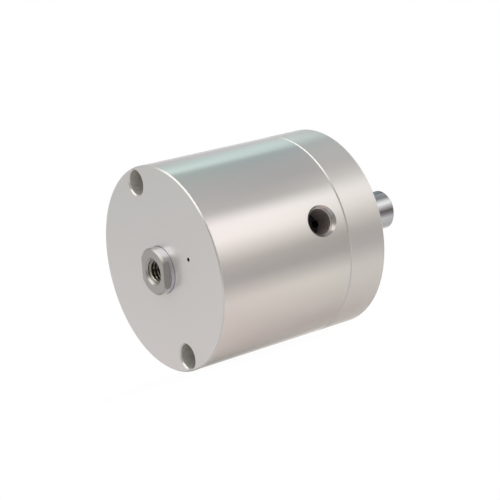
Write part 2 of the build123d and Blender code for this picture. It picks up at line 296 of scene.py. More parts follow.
def make_solid(name: str, points: np.ndarray, faces: np.ndarray) -> Object:
    """Make a closed mesh from a grid of points, with its faces turned outwards.

    Args:
        name: Name of the object.
        points: Corner places in millimetres, one per row.
        faces: Four corner numbers per face.

    Returns:
        The object, which isn't finished yet.
    """
    mesh = bpy.data.meshes.new(name)
    mesh.from_pydata((points * MM).tolist(), [], faces.tolist())
    work = bmesh.new()
    work.from_mesh(mesh)
    bmesh.ops.remove_doubles(work, verts=work.verts, dist=SAME_CORNER_M)
    bmesh.ops.dissolve_degenerate(work, edges=work.edges, dist=NO_EDGE_M)
    bmesh.ops.recalc_face_normals(work, faces=work.faces)
    work.to_mesh(mesh)
    work.free()
    return add_object(name, mesh)


@dataclass(frozen=True)
class Thread:
    """Right-handed screw thread in a turned hole, with a countersink that cuts its first turns.

    Attributes:
        start: Where the thread's wall begins along the axis.
        end: Where it ends.
        mouth: Where the countersink's outer edge lies.
        major: Radius at the bottom of the grooves.
        depth: Height of the ridges.
        pitch: Distance from ridge to ridge.
        flare: Width of the countersink beyond the major radius.
        floor: Share of the pitch that the bottom of a groove takes.
        flanks: Share that the two flanks take together.
        run_out: Pitches over which the ridges fade away at the wall's end.
        steps: Rows of points per pitch.
    """

    start: float
    end: float
    mouth: float
    major: float
    depth: float
    pitch: float
    flare: float
    floor: float = 0.15
    flanks: float = 0.62
    run_out: float = 0.5
    steps: int = 12

    def rows(self) -> np.ndarray:
        """Places along the axis between the wall's two ends."""
        count = int(abs(self.end - self.start) / self.pitch * self.steps)
        return np.linspace(self.start, self.end, count + 2)[1:-1]

    def radius(self, along: np.ndarray, angle: np.ndarray) -> np.ndarray:
        """Radius of the threaded wall.

        The major radius less a trapezoid wave, whose phase is the place along the axis in
        pitches less the angle in turns, but never inside the countersink's 45 degree cone.

        Args:
            along: Places along the axis, one per row.
            angle: Angles about the axis, one per column.

        Returns:
            One radius for each row and column.
        """
        phase = np.mod(along[:, None] / self.pitch - angle[None, :] / (2 * np.pi), 1.0)
        wave = np.clip((np.abs(2 * phase - 1) - self.floor) / self.flanks, 0, 1)
        fade = np.clip(np.abs(along - self.end) / (self.run_out * self.pitch), 0, 1)[:, None]
        cone = self.major + self.flare - np.abs(along - self.mouth)[:, None]
        return np.maximum(self.major - self.depth * wave * fade, cone)


@dataclass(frozen=True)
class Lathe:
    """Surface turned about an axis from a profile.

    Attributes:
        profile: Points of (place along the axis, radius). A profile that starts and ends on
            the axis makes a solid bar, and any other is closed into a ring.
        axis: Direction that it is turned about.
        centre: A point of the axis that counts as zero along it.
        around: Number of points round the axis.
        thread: Thread cut into the profile's wall, if any.
    """

    profile: Sequence[tuple[float, float]]
    axis: Axis = Axis.X
    centre: tuple[float, float, float] = (0.0, 0.0, 0.0)
    around: int = 128
    thread: Thread | None = None

    @property
    def closed(self) -> bool:
        """Whether the profile is a ring clear of the axis."""
        return self.profile[0][1] > 0 or self.profile[-1][1] > 0

    def segments(self) -> list[tuple[float, float, float, float]]:
        """Ends of each straight run of the profile."""
        ends = list(self.profile) + ([self.profile[0]] if self.closed else [])
        return [(*a, *b) for a, b in zip(ends, ends[1:])]

    def build(self, name: str) -> Object:
        """Make the closed mesh: turned points on a grid, with the thread's rows in its wall."""
        angle = full_turn(self.around)
        along, radius = [], []
        for (a0, r0), (a1, _) in zip(self.profile, [*self.profile[1:], self.profile[0]]):
            along.append([a0])
            radius.append(np.full((1, self.around), r0))
            if self.thread and {a0, a1} == {self.thread.start, self.thread.end}:
                rows = self.thread.rows()
                rows = rows if a0 == self.thread.start else rows[::-1]
                along.append(rows)
                radius.append(self.thread.radius(rows, angle))
        along, radius = np.concatenate(along), np.concatenate(radius)
        points = np.array(self.centre) + turned_points(along[:, None], radius, angle, self.axis)
        return make_solid(
            name, points.reshape(-1, 3), grid_faces(len(along), self.around, self.closed)
        )


def box(name: str, low: Sequence[float], high: Sequence[float], turn: float) -> Object:
    """Make a rectangular block, turned about the rod axis.

    Args:
        name: Name of the object.
        low: Lowest corner before the turn.
        high: Highest corner before the turn.
        turn: Angle in radians from +Y towards +Z.

    Returns:
        The block's object.
    """
    pick = np.array([[(i >> k) & 1 for k in range(3)] for i in range(8)])
    points = np.where(pick == 1, np.array(high, float), np.array(low, float))
    c, s = math.cos(turn), math.sin(turn)
    points = points @ np.array([[1, 0, 0], [0, c, s], [0, -s, c]])
    faces = [[0, 2, 3, 1], [4, 5, 7, 6], [0, 1, 5, 4], [2, 6, 7, 3], [0, 4, 6, 2], [1, 3, 7, 5]]
    return make_solid(name, points, np.array(faces))


def work_over(body: Object, tools: Sequence[Object], how: Cut = Cut.AWAY) -> None:
    """Cut tools away from a body, or join them to it, and delete the tools.

    Args:
        body: Object that is changed.
        tools: Closed objects.
        how: Whether they are cut away or joined.
    """
    for tool in tools:
        modifier = body.modifiers.new(tool.name, "BOOLEAN")
        modifier.operation, modifier.solver, modifier.object = how.value, "EXACT", tool
    view = bpy.context.evaluated_depsgraph_get()
    result = bpy.data.meshes.new_from_object(body.evaluated_get(view))
    old = body.data
    body.modifiers.clear()
    body.data = result
    result.name = body.name
    for mesh in (old, *(tool.data for tool in tools)):
        bpy.data.meshes.remove(mesh)


def read(parts: bpy_prop_collection, name: str, width: int = 1) -> np.ndarray:
    """Read one property of all the corners or faces of a mesh.

    Args:
        parts: The mesh's vertices, loops, polygons or corner normals.
        name: Name of the property.
        width: 3 for a place or direction, 1 for a whole number.

    Returns:
        One row or number per part.
    """
    values = np.empty(len(parts) * width, float if width > 1 else np.int32)
    parts.foreach_get(name, values)
    return values.reshape(-1, width) if width > 1 else values


def set_true_normals(body: Object, lathes: Sequence[Lathe] = ()) -> None:
    """Give each face corner the normal of the turned surface that it lies on.

    A corner lies on a run of a profile if its place along the axis and its radius are on that
    run and its face looks the same way. The others get the mean of the faces that meet
    there at a shallow angle, such as on a thread.

    Args:
        body: Finished object.
        lathes: The surfaces that its faces come from.
    """
    mesh = body.data
    mesh.polygons.foreach_set("use_smooth", np.ones(len(mesh.polygons), bool))
    mesh.set_sharp_from_angle(angle=SHARP_ANGLE)
    normals = read(mesh.corner_normals, "vector", 3)
    place = read(mesh.vertices, "co", 3)[read(mesh.loops, "vertex_index")] / MM
    face = np.repeat(read(mesh.polygons, "normal", 3), read(mesh.polygons, "loop_total"), axis=0)
    for lathe in lathes:
        way = lathe.axis.basis[0]
        local = place - np.array(lathe.centre)
        along = local @ way
        across = local - along[:, None] * way
        radius = np.linalg.norm(across, axis=1)
        outward = across / np.maximum(radius, LEAST_RADIUS)[:, None]
        for a0, r0, a1, r1 in lathe.segments():
            length = math.hypot(a1 - a0, r1 - r0)
            da, dr = (a1 - a0) / length, (r1 - r0) / length
            off = (along - a0) * dr - (radius - r0) * da
            reach = (along - a0) * da + (radius - r0) * dr
            normal = dr * way - da * outward
            facing = np.sum(normal * face, axis=1)
            on = (np.abs(off) < ON_SURFACE) & (np.abs(facing) > SAME_WAY)
            on &= (reach > -ON_SURFACE) & (reach < length + ON_SURFACE)
            normals[on] = normal[on] * np.sign(facing[on])[:, None]
    mesh.normals_split_custom_set(normals.tolist())


def cut_body(name: str, blank: Lathe, tools: Sequence[Lathe] = ()) -> Object:
    """Turn a blank, cut turned tools out of it and set its normals.

    Args:
        name: Name of the object.
        blank: Outer surface.
        tools: Surfaces that are cut away.

    Returns:
        The finished object.
    """
    body = blank.build(name)
    work_over(body, [tool.build(f"{name} tool {i}") for i, tool in enumerate(tools)])
    set_true_normals(body, [blank, *tools])
    return body


def put_in_place(piece: Object, finish: Finish, body: str, stands_for: str) -> None:
    """Dress a finished piece, fix it to its body and report it.

    Args:
        piece: Finished object at the origin.
        finish: Material that it gets.
        body: Body that it moves with.
        stands_for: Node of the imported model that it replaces.
    """
    finish.dress(piece)
    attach(piece, body)
    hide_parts(stands_for)
    log.info("%s: %d faces, on %s", piece.name, len(piece.data.polygons), body)


def repaint(piece: Object, finish: Finish, chosen: np.ndarray) -> None:
    """Give some faces of a dressed piece another finish.

    Args:
        piece: Finished object.
        finish: Their material.
        chosen: True for each of those faces.
    """
    mesh = piece.data
    numbers = read(mesh.polygons, "material_index")
    mesh.materials.append(finish.material())
    numbers[chosen] = len(mesh.materials) - 1
    mesh.polygons.foreach_set("material_index", numbers)


def face_middles(piece: Object) -> np.ndarray:
    """Middle of each face in millimetres, as an x, a y and a z for all the faces."""
    return read(piece.data.polygons, "center", 3).T / MM


# Clear anodised aluminium, fine turned: pale grey metal under a thin cloudy oxide, so its
# reflections are soft bands over an even grey.
ANODISED = Finish(
    "clear anodised aluminium", "#D1CEC9", Surface.TURNED, metallic=0.5, roughness=0.18,
    pattern_mm=0.12, relief_mm=0.00005, shade=0.006, spread=0.01,
)
# The front face, faced with a coarser feed: it mirrors the rod only as a soft tone.
ANODISED_FACE = replace(
    ANODISED, name="clear anodised aluminium, faced", roughness=0.3, pattern_mm=0.15,
    relief_mm=0.00006,
)
# The drilled walls of the mounting holes: duller than a turned face, so they stay an even grey.
ANODISED_HOLE = Finish(
    "clear anodised aluminium, drilled", "#CFCCC6", Surface.TURNED, metallic=0.3, roughness=0.3,
    pattern_mm=0.2, relief_mm=0.0002, shade=0.02,
)
# The cover's cut is a little coarser, so its bands are duller and broader.
ANODISED_COVER = Finish(
    "clear anodised aluminium, coarser cut", "#D6D3CE", Surface.TURNED, metallic=0.5,
    roughness=0.26, pattern_mm=0.2, relief_mm=0.00008, shade=0.008, spread=0.015,
)
# Countersink that was cut after anodising: bare, so its tones differ more from side to side.
CUT_ALUMINIUM = Finish(
    "bare cut aluminium", "#B2AEA8", Surface.OXIDE, metallic=0.7, roughness=0.18,
    pattern_mm=0.5, relief_mm=0.0002, shade=0.02,
)
# Tapped port, never polished: dull brownish grey, darker than the body as painted shade of the deep
# port.
PORT_WALL_PAINTED_SHADE = Finish(
    "tapped aluminium, painted shade", "#786D6A", Surface.OXIDE, metallic=0.35, roughness=0.45,
    pattern_mm=0.5, shade=0.08,
)
# Bottom of the port, its drilling and the breather hole: a very dark brown, painted shade of these deep
# holes.
DEEP_HOLE_PAINTED_SHADE = replace(
    PORT_WALL_PAINTED_SHADE, name="drilled aluminium, painted shade", colour="#2E2927", metallic=0.3,
    roughness=0.5,
)
# Turned carbon steel: darker and browner than the aluminium, with a satin shine.
ROD_STEEL = Finish(
    "turned carbon steel", "#A8A59F", Surface.TURNED, metallic=0.85, roughness=0.3,
    pattern_mm=0.15, relief_mm=0.0001, shade=0.015,
)
# The same steel where it is tapped: its ridges flash between brown-grey grooves, and its darker
# brown-grey is painted shade inside the tapped hole.
ROD_THREAD_PAINTED_SHADE = Finish(
    "tapped carbon steel, painted shade", "#8A8276", Surface.OXIDE, metallic=0.95, roughness=0.28,
    pattern_mm=0.4, relief_mm=0.0005, shade=0.08,
)
# The same steel where it runs in its bush: ground bright, so it takes the tone of what is near.
GROUND_STEEL = Finish(
    "ground carbon steel", "#D9D6DC", Surface.TURNED, metallic=1.0, roughness=0.16,
    pattern_mm=0.1, relief_mm=0.00005, shade=0.01, spread=0.01,
)
# Hard chrome plate, ground and polished: a near mirror with a cool tint.
HARD_CHROME = Finish(
    "hard chrome plate", "#C3C5C7", Surface.POLISHED, metallic=1.0, roughness=0.1,
    pattern_mm=3.0, relief_mm=0.0002, shade=0.01, spread=0.01,
)
# Black oxide on steel: dark, slightly oily, with worn grey where the mottle is thin.
BLACK_OXIDE = Finish(
    "black oxide steel", "#2C2C2D", Surface.OXIDE, metallic=0.8, roughness=0.38,
    pattern_mm=0.6, relief_mm=0.002, shade=0.18, spread=0.06,
)
# Oiled spring wire: grey steel with a soft shine.
SPRING_WIRE = Finish(
    "oiled spring steel", "#7F7F80", Surface.OXIDE, metallic=1.0, roughness=0.33,
    pattern_mm=0.5, shade=0.06,
)
# Stamped washer steel: plain grey, tumbled smooth.
WASHER_STEEL = Finish(
    "stamped mild steel", "#A9A9A9", Surface.OXIDE, metallic=1.0, roughness=0.35, pattern_mm=0.4
)
# Bare turned aluminium: brighter than the anodised body, with plain tool marks.
PISTON_ALUMINIUM = Finish(
    "turned bare aluminium", "#D2D3D4", Surface.TURNED, metallic=1.0, roughness=0.25,
    relief_mm=0.0008,
)
# Sintered bronze: matt brown gold with open pores that hold the oil.
SINTERED_BRONZE = Finish(
    "sintered bronze", "#A9854F", Surface.SINTERED, metallic=0.9, pattern_mm=0.25,
    relief_mm=0.01, shade=0.15,
)
# Nitrile rubber: matt black with a faint grain from its mould.
NITRILE = Finish(
    "nitrile rubber", "#1F1F20", Surface.MOULDED, roughness=0.55, pattern_mm=0.3,
    relief_mm=0.004, shade=0.1,
)
# Cast polyurethane: dull green, slightly waxy.
URETHANE = Finish(
    "cast polyurethane", "#7C8A50", Surface.MOULDED, roughness=0.42, pattern_mm=0.4,
    relief_mm=0.003, shade=0.06,
)
# Acetal: off-white bearing plastic with a low gloss.
ACETAL = Finish(
    "acetal", "#E2DFD3", Surface.MOULDED, roughness=0.38, pattern_mm=0.5, relief_mm=0.002
)
# Wool felt, soaked in oil: yellowish grey with a short fuzz.
WOOL_FELT = Finish(
    "oiled wool felt", "#B9AD8C", Surface.FELTED, roughness=0.85, pattern_mm=0.35,
    relief_mm=0.03, shade=0.18, sheen=0.4,
)


@dataclass(frozen=True)
class Layout:
    """Sizes that more than one piece uses. Tools run past what they cut by the overrun."""

    body_r: float = 35.0
    bore_r: float = 20.0
    rim_chamfer: float = 0.4
    joint_chamfer: float = 0.35
    hole_chamfer: float = 0.2
    mouth_chamfer: float = 0.45
    joint_x: float = -52.5
    rear_face_x: float = -67.5
    mounting_hole_r: float = 4.2
    mounting_radius: float = 30.0
    screw_radius: float = 27.5
    screw_r: float = 2.5
    overrun: float = 1.0

    def mounting_centres(self) -> list[tuple[float, float, float]]:
        """Centres of the two mounting holes."""
        return [(0.0, 0.0, way * self.mounting_radius) for way in (1, -1)]

    def screw_centres(self) -> list[tuple[float, float, float]]:
        """Centres of the four cover screws, half way between the other holes."""
        reach = self.screw_radius / math.sqrt(2)
        return [(0.0, y * reach, z * reach) for y in (1, -1) for z in (1, -1)]

    def hole(
        self, front: float, rear: float, radius: float, centre: tuple, mouth: float | None = None
    ) -> Lathe:
        """Tool for a through hole with a countersink at both ends.

        Args:
            front: Place of its front end.
            rear: Place of its rear end.
            radius: Radius of the hole.
            centre: Centre of the hole.
            mouth: Width of the front countersink, if it isn't the small one.

        Returns:
            The tool, which runs past both ends.
        """
        edge, over = self.hole_chamfer, self.overrun
        mouth = edge if mouth is None else mouth
        profile = (
            (front + over, 0), (front + over, radius + mouth + over), (front - mouth, radius),
            (rear + edge, radius), (rear - over, radius + edge + over), (rear - over, 0),
        )
        return Lathe(profile, centre=centre, around=96)

    def bar(self, front: float, rear: float, radius: float, centre: tuple) -> Lathe:
        """Tool for a plain round hole."""
        return Lathe(((front, 0), (front, radius), (rear, radius), (rear, 0)), centre=centre, around=64)


LAYOUT = Layout()


@dataclass
class Barrel:
    """Cup-shaped body: the front wall and the tube in one turned piece.

    Attributes:
        face_hole_r: Hole in the front wall round the rod.
        chamber_x: Inner face of the front wall.
        recess_x: Bottom of the spring's recess.
        recess_r: Inner and outer radius of that recess.
        bush_seat: Bush seat's front end and radius.
        felt_groove: Felt groove's front end, rear end and radius.
        tapped_end: Bottom of the four tapped holes.
        screw_gap: Gap round the screws in them.
        breather: Radius and height of the breather hole.
        port_x: Middle of the air port.
        port_floor: Height of the port's flat bottom above the rod axis.
        port_thread: Major radius, ridge height, pitch and countersink of its pipe thread.
        port_shade_pitches: Pitches from the countersink down to where the port's painted shade starts.
        drilling: Place along X and radius of the drilling into the chamber.
    """

    face_hole_r: float = 8.12
    chamber_x: float = -9.5
    recess_x: float = -4.5
    recess_r: tuple[float, float] = (12.2, 14.8)
    bush_seat: tuple[float, float] = (-3.6, 9.05)
    felt_groove: tuple[float, float, float] = (-1.2, -3.0, 9.53)
    tapped_end: float = -40.5
    screw_gap: float = 0.02
    breather: tuple[float, float] = (0.5, 18.0)
    port_x: float = -43.0
    port_floor: float = 26.0
    port_thread: tuple[float, float, float, float] = (4.865, 0.58, 0.907, 0.9)
    port_shade_pitches: float = 0.8
    drilling: tuple[float, float] = (-46.565, 1.25)

    def blank(self) -> Lathe:
        """Profile of the cup, from the rod's hole round the outside and back through the bore."""
        at, hole_r, wall_x = LAYOUT, self.face_hole_r, self.chamber_x
        rim, edge = at.rim_chamfer, at.joint_chamfer
        inner, outer = self.recess_r
        seat_x, seat_r = self.bush_seat
        felt_front, felt_rear, felt_r = self.felt_groove
        profile = (
            (0, hole_r), (0, at.body_r - rim), (-rim, at.body_r),
            (at.joint_x + edge, at.body_r), (at.joint_x, at.body_r - edge),
            (at.joint_x, at.bore_r + edge), (at.joint_x + edge, at.bore_r), (wall_x, at.bore_r),
            (wall_x, outer), (self.recess_x, outer), (self.recess_x, inner), (wall_x, inner),
            (wall_x, seat_r), (seat_x, seat_r), (seat_x, hole_r),
            (felt_rear, hole_r), (felt_rear, felt_r), (felt_front, felt_r), (felt_front, hole_r),
        )
        return Lathe(profile, around=360)

    def port(self) -> Lathe:
        """Tool for the air port: flat bottom, threaded wall and countersink."""
        major, depth, pitch, flare = self.port_thread
        floor, top, over = self.port_floor, LAYOUT.body_r, LAYOUT.overrun
        profile = (
            (floor, 0), (floor, major), (top - flare, major),
            (top + over, major + flare + over), (top + over, 0),
        )
        thread = Thread(floor, top - flare, top, major, depth, pitch, flare)
        return Lathe(profile, axis=Axis.Y, centre=(self.port_x, 0, 0), thread=thread)

    def tools(self) -> list[Lathe]:
        """Every hole that is cut into the cup."""
        at = LAYOUT
        radius, mouth = at.mounting_hole_r, at.mouth_chamfer
        holes = [at.hole(0, at.joint_x, radius, c, mouth) for c in at.mounting_centres()]
        ends = (self.tapped_end, at.joint_x - at.overrun)
        holes += [at.bar(*ends, at.screw_r + self.screw_gap, c) for c in at.screw_centres()]
        radius, height = self.breather
        holes.append(at.hole(0, self.chamber_x, radius, (0.0, height, 0.0)))
        x, radius = self.drilling
        low, high = at.bore_r - at.overrun, self.port_floor + at.overrun
        profile = ((low, 0), (low, radius), (high, radius), (high, 0))
        holes.append(Lathe(profile, axis=Axis.Y, centre=(x, 0, 0), around=48))
        return [*holes, self.port()]

    def build(self) -> None:
        """Make the barrel and fix it to the housing."""
        piece = cut_body("barrel_body", self.blank(), self.tools())
        put_in_place(piece, ANODISED, "housing", "barrel")
        x, y, z = face_middles(piece)
        repaint(piece, ANODISED_FACE, x > -OFF_PLANE)
        # The mounting holes mirror each other across the rod, so one distance finds both.
        reach = np.hypot(y, np.abs(z) - LAYOUT.mounting_radius)
        drilled = (reach < LAYOUT.mounting_hole_r + OFF_WALL) & (x < -LAYOUT.mouth_chamfer)
        repaint(piece, ANODISED_HOLE, drilled)
        radius, height = self.breather
        vent = (np.hypot(y - height, z) < radius + LAYOUT.hole_chamfer) & (x < -OFF_PLANE)
        major, _, pitch, flare = self.port_thread
        reach = np.hypot(x - self.port_x, z)
        inside = (reach < major + flare) & (y > LAYOUT.bore_r)
        cone = np.abs(reach - (y - LAYOUT.body_r + major + flare)) < OFF_CONE
        tapped = inside & (reach < major + OFF_WALL) & ~cone
        repaint(piece, CUT_ALUMINIUM, inside & (cone | tapped))
        # Below its first turns, the port's wall gets a darker colour: painted shade of the deep port.
        tapped &= y < LAYOUT.body_r - flare - self.port_shade_pitches * pitch
        repaint(piece, PORT_WALL_PAINTED_SHADE, tapped)
        # The port's bottom, its drilling and the breather hole get a very dark colour: painted shade of
        # these deep holes.
        repaint(piece, DEEP_HOLE_PAINTED_SHADE, vent | (tapped & (y < self.port_floor + OFF_WALL)))


@dataclass
class RearCover:
    """Cover with its spigot in the bore, its boss and the seats of the seals and the ring.

    Attributes:
        boss: Boss's front end, radius and chamfer.
        spigot: Spigot's front end and radius.
        ring_groove: Rubber ring groove's middle, half width and floor radius.
        seal_r: Radius of the seals' seat.
        seal_floor_x: Bottom of that seat.
        bush_seat: Bush seat's rear end and radius.
        rod_hole_r: Hole round the rod between the bush and the seal.
        snap_groove: Retaining ring groove's rear end, front end and radius.
        screw_gap: Gap round the screws' shanks.
        counterbore: Counterbores' bottom and radius.
    """

    boss: tuple[float, float, float] = (-45.5, 13.0, 0.4)
    spigot: tuple[float, float] = (-48.5, 19.97)
    ring_groove: tuple[float, float, float] = (-50.5, 1.1, 18.38)
    seal_r: float = 10.5
    seal_floor_x: float = -57.5
    bush_seat: tuple[float, float] = (-56.0, 8.05)
    rod_hole_r: float = 7.12
    snap_groove: tuple[float, float, float] = (-65.55, -64.5, 11.44)
    screw_gap: float = 0.25
    counterbore: tuple[float, float] = (-62.0, 4.5)

    def blank(self) -> Lathe:
        """Profile of the cover, from the bush's seat round the outside and back to it."""
        at, seal_r, hole_r = LAYOUT, self.seal_r, self.rod_hole_r
        rim, edge = at.rim_chamfer, at.joint_chamfer
        front, boss_r, boss_edge = self.boss
        spigot_x, spigot_r = self.spigot
        middle, half, floor = self.ring_groove
        seat_x, seat_r = self.bush_seat
        snap_rear, snap_front, snap_r = self.snap_groove
        profile = (
            (front, seat_r), (front, boss_r - boss_edge), (front - boss_edge, boss_r),
            (spigot_x, boss_r), (spigot_x, spigot_r - edge), (spigot_x - edge, spigot_r),
            (middle + half, spigot_r), (middle + half, floor),
            (middle - half, floor), (middle - half, spigot_r),
            (at.joint_x, spigot_r), (at.joint_x, at.body_r - edge), (at.joint_x - edge, at.body_r),
            (at.rear_face_x + rim, at.body_r), (at.rear_face_x, at.body_r - rim),
            (at.rear_face_x, seal_r + rim), (at.rear_face_x + rim, seal_r),
            (snap_rear, seal_r), (snap_rear, snap_r), (snap_front, snap_r), (snap_front, seal_r),
            (self.seal_floor_x, seal_r), (self.seal_floor_x, hole_r), (seat_x, hole_r),
            (seat_x, seat_r),
        )
        return Lathe(profile, around=360)

    def tools(self) -> list[Lathe]:
        """Mounting holes, screw holes and counterbores."""
        at = LAYOUT
        ends = (at.joint_x, at.rear_face_x)
        holes = [at.hole(*ends, at.mounting_hole_r, c) for c in at.mounting_centres()]
        for centre in at.screw_centres():
            seat, radius = self.counterbore
            holes.append(at.hole(*ends, at.screw_r + self.screw_gap, centre))
            holes.append(at.bar(seat, at.rear_face_x - at.overrun, radius, centre))
        return holes

    def build(self) -> None:
        """Make the cover and fix it to the housing."""
        piece = cut_body("rear_cover_plate", self.blank(), self.tools())
        put_in_place(piece, ANODISED_COVER, "housing", "rear_cover")


@dataclass
class CoverScrews:
    """Four socket head screws that hold the cover, heads to the rear.

    Attributes:
        tip_x: End of the shanks.
        tip_edge: Their chamfer.
        seat_x: Face under the heads.
        seat_edge: Width and height of the edge there.
        head_x: Outer face of the heads.
        head_r: Radius of the heads.
        crown: Depth and inset of the two corners of a head's rounded edge.
        knurl_end: Depth at which the ribs start.
        knurls: Number of ribs round a head.
        knurl_depth: Depth of the grooves between them.
        socket_flat: Distance from the middle to a flat of the hexagon.
        socket_edge: Chamfer of the hexagon.
        socket_depth: Depth of the hexagon.
        socket_point: Depth of the drill's point below it.
    """

    tip_x: float = -42.0
    tip_edge: float = 0.5
    seat_x: float = -62.0
    seat_edge: tuple[float, float] = (0.15, 0.3)
    head_x: float = -67.0
    head_r: float = 4.25
    crown: tuple[tuple[float, float], ...] = ((0.1, 0.4), (0.0, 0.75))
    knurl_end: float = 0.55
    knurls: int = 36
    knurl_depth: float = 0.12
    socket_flat: float = 2.0
    socket_edge: float = 0.12
    socket_depth: float = 2.5
    socket_point: float = 0.6

    def grid(self, centre: tuple[float, float, float], around: int = 144) -> tuple:
        """Work out one screw as rows of places along X and radii that change with the angle.

        The head's wall is its radius less a cosine wave, once per rib. The hexagon's radius is
        its half width over the cosine of the angle to the nearest flat's middle.

        Args:
            centre: Centre of the screw.
            around: Points round the axis, a multiple of 6.

        Returns:
            Points in millimetres, and the corner numbers of the faces.
        """
        angle = full_turn(around)
        sixth = np.pi / 3
        hexagon = self.socket_flat / np.cos(np.mod(angle, sixth) - sixth / 2)
        ribs = self.head_r - self.knurl_depth * (0.5 - 0.5 * np.cos(self.knurls * angle))
        shank, seat_edge = LAYOUT.screw_r, self.seat_edge
        floor = self.head_x + self.socket_depth
        rows = (
            (self.tip_x, 0.0), (self.tip_x, shank - self.tip_edge),
            (self.tip_x - self.tip_edge, shank), (self.seat_x, shank),
            (self.seat_x, self.head_r - seat_edge[0]), (self.seat_x - seat_edge[1], ribs),
            (self.head_x + self.knurl_end, ribs),
            *[(self.head_x + depth, self.head_r - inset) for depth, inset in self.crown],
            (self.head_x, hexagon + self.socket_edge), (self.head_x + self.socket_edge, hexagon),
            (floor, hexagon), (floor + self.socket_point, 0.0),
        )
        along = np.array([[x] for x, _ in rows])
        radius = np.stack([np.broadcast_to(r, angle.shape) for _, r in rows])
        points = turned_points(along, radius, angle) + np.array(centre)
        return points.reshape(-1, 3), grid_faces(len(rows), around)

    def build(self) -> None:
        """Make the four screws as one piece and fix it to the housing."""
        points, faces = zip(*[self.grid(centre) for centre in LAYOUT.screw_centres()])
        corners = np.concatenate([f + len(points[0]) * i for i, f in enumerate(faces)])
        piece = make_solid("cover_socket_screws", np.concatenate(points), corners)
        set_true_normals(piece)
        put_in_place(piece, BLACK_OXIDE, "housing", "cover_screws")


@dataclass
class SnapRing:
    """Internal retaining ring with two lugs for the pliers.

    Attributes:
        rear_x: Outer face.
        thickness: Thickness along X.
        outer_r: Outer radius.
        width: Radial width opposite the gap.
        offset: How far the inner circle's centre is moved towards the gap.
        gap: Angle of the gap in degrees.
        lug_r: Radius of the lugs.
        lug_hole_r: Radius of the holes in them.
    """

    rear_x: float = -65.5
    thickness: float = 1.0
    outer_r: float = 11.4
    width: float = 1.4
    offset: float = 0.5
    gap: float = 22.0
    lug_r: float = 1.35
    lug_hole_r: float = 0.6

    def band(self, steps: int = 160) -> Object:
        """Make the band: a rectangle carried round the circle from one end of the gap to the other.

        The inner radius at an angle is the distance from the rod axis to a circle whose centre
        is moved towards the gap, so the band narrows there.

        Args:
            steps: Number of rows.

        Returns:
            The band's object.
        """
        half = math.radians(self.gap / 2)
        angle = np.linspace(half, 2 * np.pi - half, steps)[:, None]
        shift = self.offset * np.cos(angle)
        inside = shift + np.sqrt((self.outer_r - self.width) ** 2 - self.offset**2 + shift**2)
        outside = np.full_like(inside, self.outer_r)
        along = self.rear_x + self.thickness * np.array([[0, 0, 1, 1]])
        radius = np.concatenate([inside, outside, outside, inside], axis=1)
        points = turned_points(along, radius, angle, Axis.X_FROM_Z).reshape(-1, 3)
        ends = np.arange(4) + np.array([[0], [4 * steps - 4]])
        return make_solid("retaining_ring", points, np.concatenate([grid_faces(steps, 4), ends]))

    def build(self) -> None:
        """Make the ring with its lugs and fix it to the housing."""
        band = self.band()
        over = LAYOUT.overrun
        reach = self.outer_r - self.width + self.offset - self.lug_r / 2
        angle = math.radians(self.gap / 2) + self.lug_r / reach
        front = self.rear_x + self.thickness
        places = [(0.0, w * reach * math.sin(angle), reach * math.cos(angle)) for w in (1, -1)]
        lugs = [LAYOUT.bar(front, self.rear_x, self.lug_r, c) for c in places]
        holes = [LAYOUT.bar(front + over, self.rear_x - over, self.lug_hole_r, c) for c in places]
        work_over(band, [lug.build("lug") for lug in lugs], Cut.JOINED)
        work_over(band, [hole.build("lug hole") for hole in holes])
        set_true_normals(band, [*lugs, *holes])
        put_in_place(band, BLACK_OXIDE, "housing", "rear_snap_ring")


@dataclass
class RodWiper:
    """Wiper whose lip reaches back past the retaining ring and scrapes the rear rod.

    Attributes:
        front_x: Inner face of its body.
        rear_x: Outer face of its body.
        tip_x: Tip of the lip.
        inner_r: Radius of the lip on the rod.
        lip: Thickness of the lip.
        lip_edge: Thickness of the lip at its tip.
        outer_r: Radius of the body in its seat.
    """

    front_x: float = -62.0
    rear_x: float = -64.5
    tip_x: float = -64.7
    inner_r: float = 7.03
    lip: float = 0.8
    lip_edge: float = 0.12
    outer_r: float = 10.48

    def build(self) -> None:
        """Make the wiper and fix it to the housing."""
        root, edge = self.inner_r + self.lip, self.inner_r + self.lip_edge
        profile = (
            (self.front_x, root), (self.front_x, self.outer_r), (self.rear_x, self.outer_r),
            (self.rear_x, root), (self.tip_x, edge), (self.tip_x, self.inner_r),
            (self.rear_x + self.lip, self.inner_r),
        )
        piece = cut_body("rod_wiper_lip", Lathe(profile))
        put_in_place(piece, URETHANE, "housing", "rear_rod_wiper")


